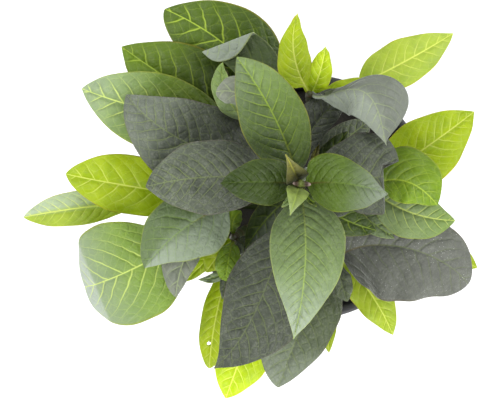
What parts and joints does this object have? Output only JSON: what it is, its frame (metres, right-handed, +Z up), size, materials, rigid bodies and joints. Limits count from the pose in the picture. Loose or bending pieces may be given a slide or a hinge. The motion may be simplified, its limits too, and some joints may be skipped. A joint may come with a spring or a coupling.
{
  "type": "aquarium plant",
  "caption": "Compact giant hygrophila: upright stems with broad quilted leaves in crossed pairs, growing from a fibrous plug in a round black pot that stands on its base.",
  "frame": {"origin": "centre of the flat underside of the pot, which is what the plant stands on", "axes": "+Z is up along the pot's axis; seen from above with +X to the right and +Y away, the plant lies as in the picture"},
  "size_m": [0.1686, 0.1469, 0.1714],
  "materials": {
    "pot_black_plastic": "satin",
    "growing_medium_dark_fibre": "matte",
    "stem_green": "satin",
    "bud_brown": "satin",
    "leaf_dark_grey_green": "satin",
    "leaf_mid_green": "satin",
    "leaf_lime_green": "satin",
    "leaf_lime": "satin",
    "leaf_pale_green": "satin",
    "leaf_silver_green": "satin",
    "leaf_bronze_green": "satin"
  },
  "bodies": {
    "root": {"pot": "pot_black_plastic", "growing_medium": "growing_medium_dark_fibre", "bud": "bud_brown", "stem_centre": "stem_green", "stem_east": "stem_green", "stem_far_west": "stem_green", "stem_north": "stem_green", "stem_north_east": "stem_green", "stem_north_west": "stem_green", "stem_south": "stem_green", "stem_south_east": "stem_green", "stem_south_west": "stem_green", "stem_west": "stem_green", "leaf_centre_1_back": "leaf_bronze_green", "leaf_centre_1_front": "leaf_pale_green", "leaf_centre_2_left": "leaf_mid_green", "leaf_centre_2_right": "leaf_mid_green", "leaf_centre_3_back": "leaf_mid_green", "leaf_centre_3_front": "leaf_pale_green", "leaf_centre_4_left": "leaf_dark_grey_green", "leaf_centre_4_right": "leaf_dark_grey_green", "leaf_centre_5_front": "leaf_dark_grey_green", "leaf_centre_5_back": "leaf_dark_grey_green", "leaf_centre_6_left": "leaf_dark_grey_green", "leaf_centre_6_right": "leaf_dark_grey_green", "leaf_centre_7_front": "leaf_mid_green", "leaf_centre_7_back": "leaf_dark_grey_green", "leaf_centre_7_right": "leaf_mid_green", "leaf_centre_8_right": "leaf_pale_green", "leaf_north_east_1": "leaf_silver_green", "leaf_north_east_2": "leaf_lime", "leaf_north_east_3": "leaf_lime", "leaf_north_east_4": "leaf_lime", "leaf_north_east_5": "leaf_lime", "leaf_east_1": "leaf_lime_green", "leaf_east_2": "leaf_lime_green", "leaf_east_3": "leaf_lime", "leaf_east_4": "leaf_lime", "leaf_south_east_1": "leaf_dark_grey_green", "leaf_south_east_2": "leaf_dark_grey_green", "leaf_south_east_3": "leaf_dark_grey_green", "leaf_south_east_4": "leaf_lime", "leaf_south_east_5": "leaf_lime", "leaf_south_1": "leaf_lime", "leaf_south_west_1": "leaf_mid_green", "leaf_south_west_2": "leaf_lime", "leaf_south_west_3": "leaf_lime", "leaf_south_west_4": "leaf_lime", "leaf_west_1": "leaf_mid_green", "leaf_west_2": "leaf_silver_green", "leaf_west_3": "leaf_lime_green", "leaf_far_west_1": "leaf_lime", "leaf_far_west_2": "leaf_lime", "leaf_north_west_1": "leaf_silver_green", "leaf_north_west_2": "leaf_pale_green", "leaf_north_west_3": "leaf_lime_green", "leaf_north_west_4": "leaf_mid_green", "leaf_north_1": "leaf_pale_green", "leaf_north_2": "leaf_mid_green"}
  },
  "joints": []
}
